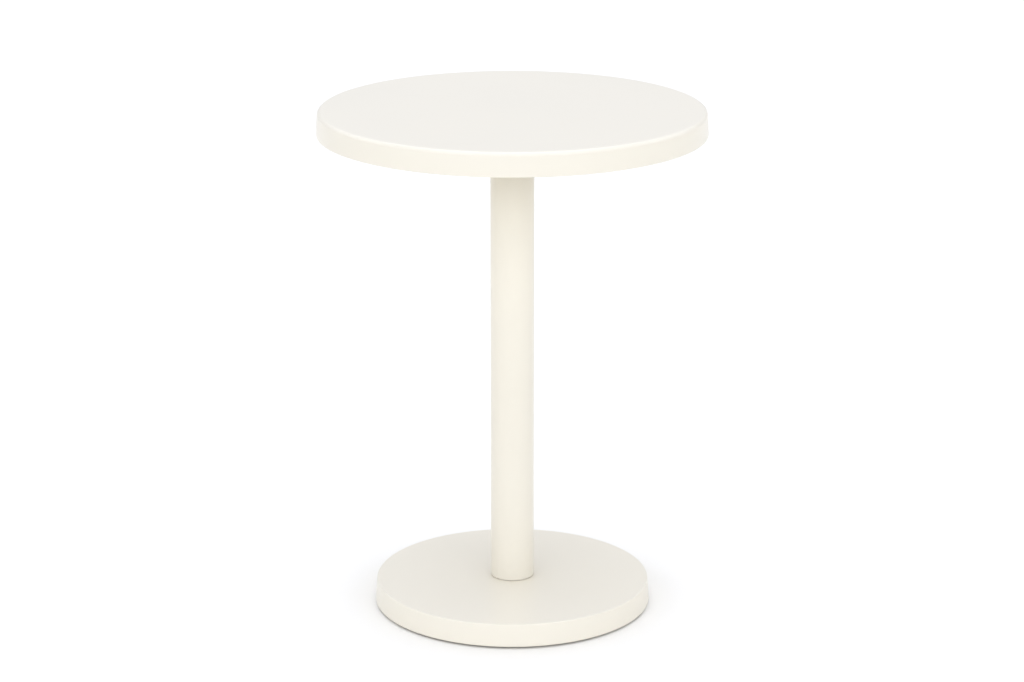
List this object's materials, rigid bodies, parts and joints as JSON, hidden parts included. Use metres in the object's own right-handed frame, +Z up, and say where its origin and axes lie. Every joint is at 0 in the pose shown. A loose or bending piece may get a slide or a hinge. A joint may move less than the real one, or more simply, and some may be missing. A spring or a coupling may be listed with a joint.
{
  "type": "bistro table",
  "caption": "Round pedestal table: skirted pressed-steel top, plain tubular column on a central tie rod, low round cast base on screw-adjustable levelling glides.",
  "frame": {"origin": "on the floor, under the middle of the base", "axes": "+Z up along the column; X and Y along the stiffener bars under the top, with the glides on the diagonals between them"},
  "size_m": [0.5599, 0.5598, 0.744],
  "materials": {
    "powder_coat": "ivory powder coat, satin, very fine orange peel",
    "coated_iron": "the same ivory powder coat, on a casting with a turned and filled top face",
    "zinc_steel": "bright zinc plate",
    "turned_steel": "turned, bare",
    "washer_nylon": "natural nylon, matt",
    "glide_nylon": "moulded grey nylon, matt"
  },
  "bodies": {
    "table": {"top_shell": "powder_coat", "stiffener_bar_1": "powder_coat", "stiffener_bar_2": "powder_coat", "stiffener_bar_3": "powder_coat", "stiffener_bar_4": "powder_coat", "mounting_plate": "powder_coat", "column_tube": "powder_coat", "base_casting": "coated_iron", "weld_nuts": "zinc_steel", "plate_screws": "zinc_steel", "centring_disc": "turned_steel", "tie_rod": "zinc_steel", "rod_top_washer": "zinc_steel", "rod_top_nut": "zinc_steel", "base_washer": "zinc_steel", "spring_washer": "zinc_steel", "rod_bottom_nut": "zinc_steel", "foot_washer": "washer_nylon"},
    "glide_pad_1": {"glide_pad_1": "glide_nylon"},
    "glide_stem_1": {"glide_stem_1": "zinc_steel"},
    "glide_pad_2": {"glide_pad_2": "glide_nylon"},
    "glide_stem_2": {"glide_stem_2": "zinc_steel"},
    "glide_pad_3": {"glide_pad_3": "glide_nylon"},
    "glide_stem_3": {"glide_stem_3": "zinc_steel"},
    "glide_pad_4": {"glide_pad_4": "glide_nylon"},
    "glide_stem_4": {"glide_stem_4": "zinc_steel"}
  },
  "joints": [
    {"name": "glide_travel_1", "type": "slide", "parent": "table", "child": "glide_pad_1", "axis": [0, 0, -1], "range_m": [0, 0.01]},
    {"name": "glide_turn_1", "type": "hinge", "parent": "glide_pad_1", "child": "glide_stem_1", "pos_m": [0.12162, 0.12162, 0.01], "axis": [0, 0, -1], "range_deg": [0, 2880]},
    {"name": "glide_travel_2", "type": "slide", "parent": "table", "child": "glide_pad_2", "axis": [0, 0, -1], "range_m": [0, 0.01]},
    {"name": "glide_turn_2", "type": "hinge", "parent": "glide_pad_2", "child": "glide_stem_2", "pos_m": [-0.12162, 0.12162, 0.01], "axis": [0, 0, -1], "range_deg": [0, 2880]},
    {"name": "glide_travel_3", "type": "slide", "parent": "table", "child": "glide_pad_3", "axis": [0, 0, -1], "range_m": [0, 0.01]},
    {"name": "glide_turn_3", "type": "hinge", "parent": "glide_pad_3", "child": "glide_stem_3", "pos_m": [-0.12162, -0.12162, 0.01], "axis": [0, 0, -1], "range_deg": [0, 2880]},
    {"name": "glide_travel_4", "type": "slide", "parent": "table", "child": "glide_pad_4", "axis": [0, 0, -1], "range_m": [0, 0.01]},
    {"name": "glide_turn_4", "type": "hinge", "parent": "glide_pad_4", "child": "glide_stem_4", "pos_m": [0.12162, -0.12162, 0.01], "axis": [0, 0, -1], "range_deg": [0, 2880]}
  ],
  "couplings": [
    {"joint": "glide_turn_1", "follows": "glide_travel_1", "rad_per_m": 5026.5},
    {"joint": "glide_turn_2", "follows": "glide_travel_2", "rad_per_m": 5026.5},
    {"joint": "glide_turn_3", "follows": "glide_travel_3", "rad_per_m": 5026.5},
    {"joint": "glide_turn_4", "follows": "glide_travel_4", "rad_per_m": 5026.5}
  ]
}
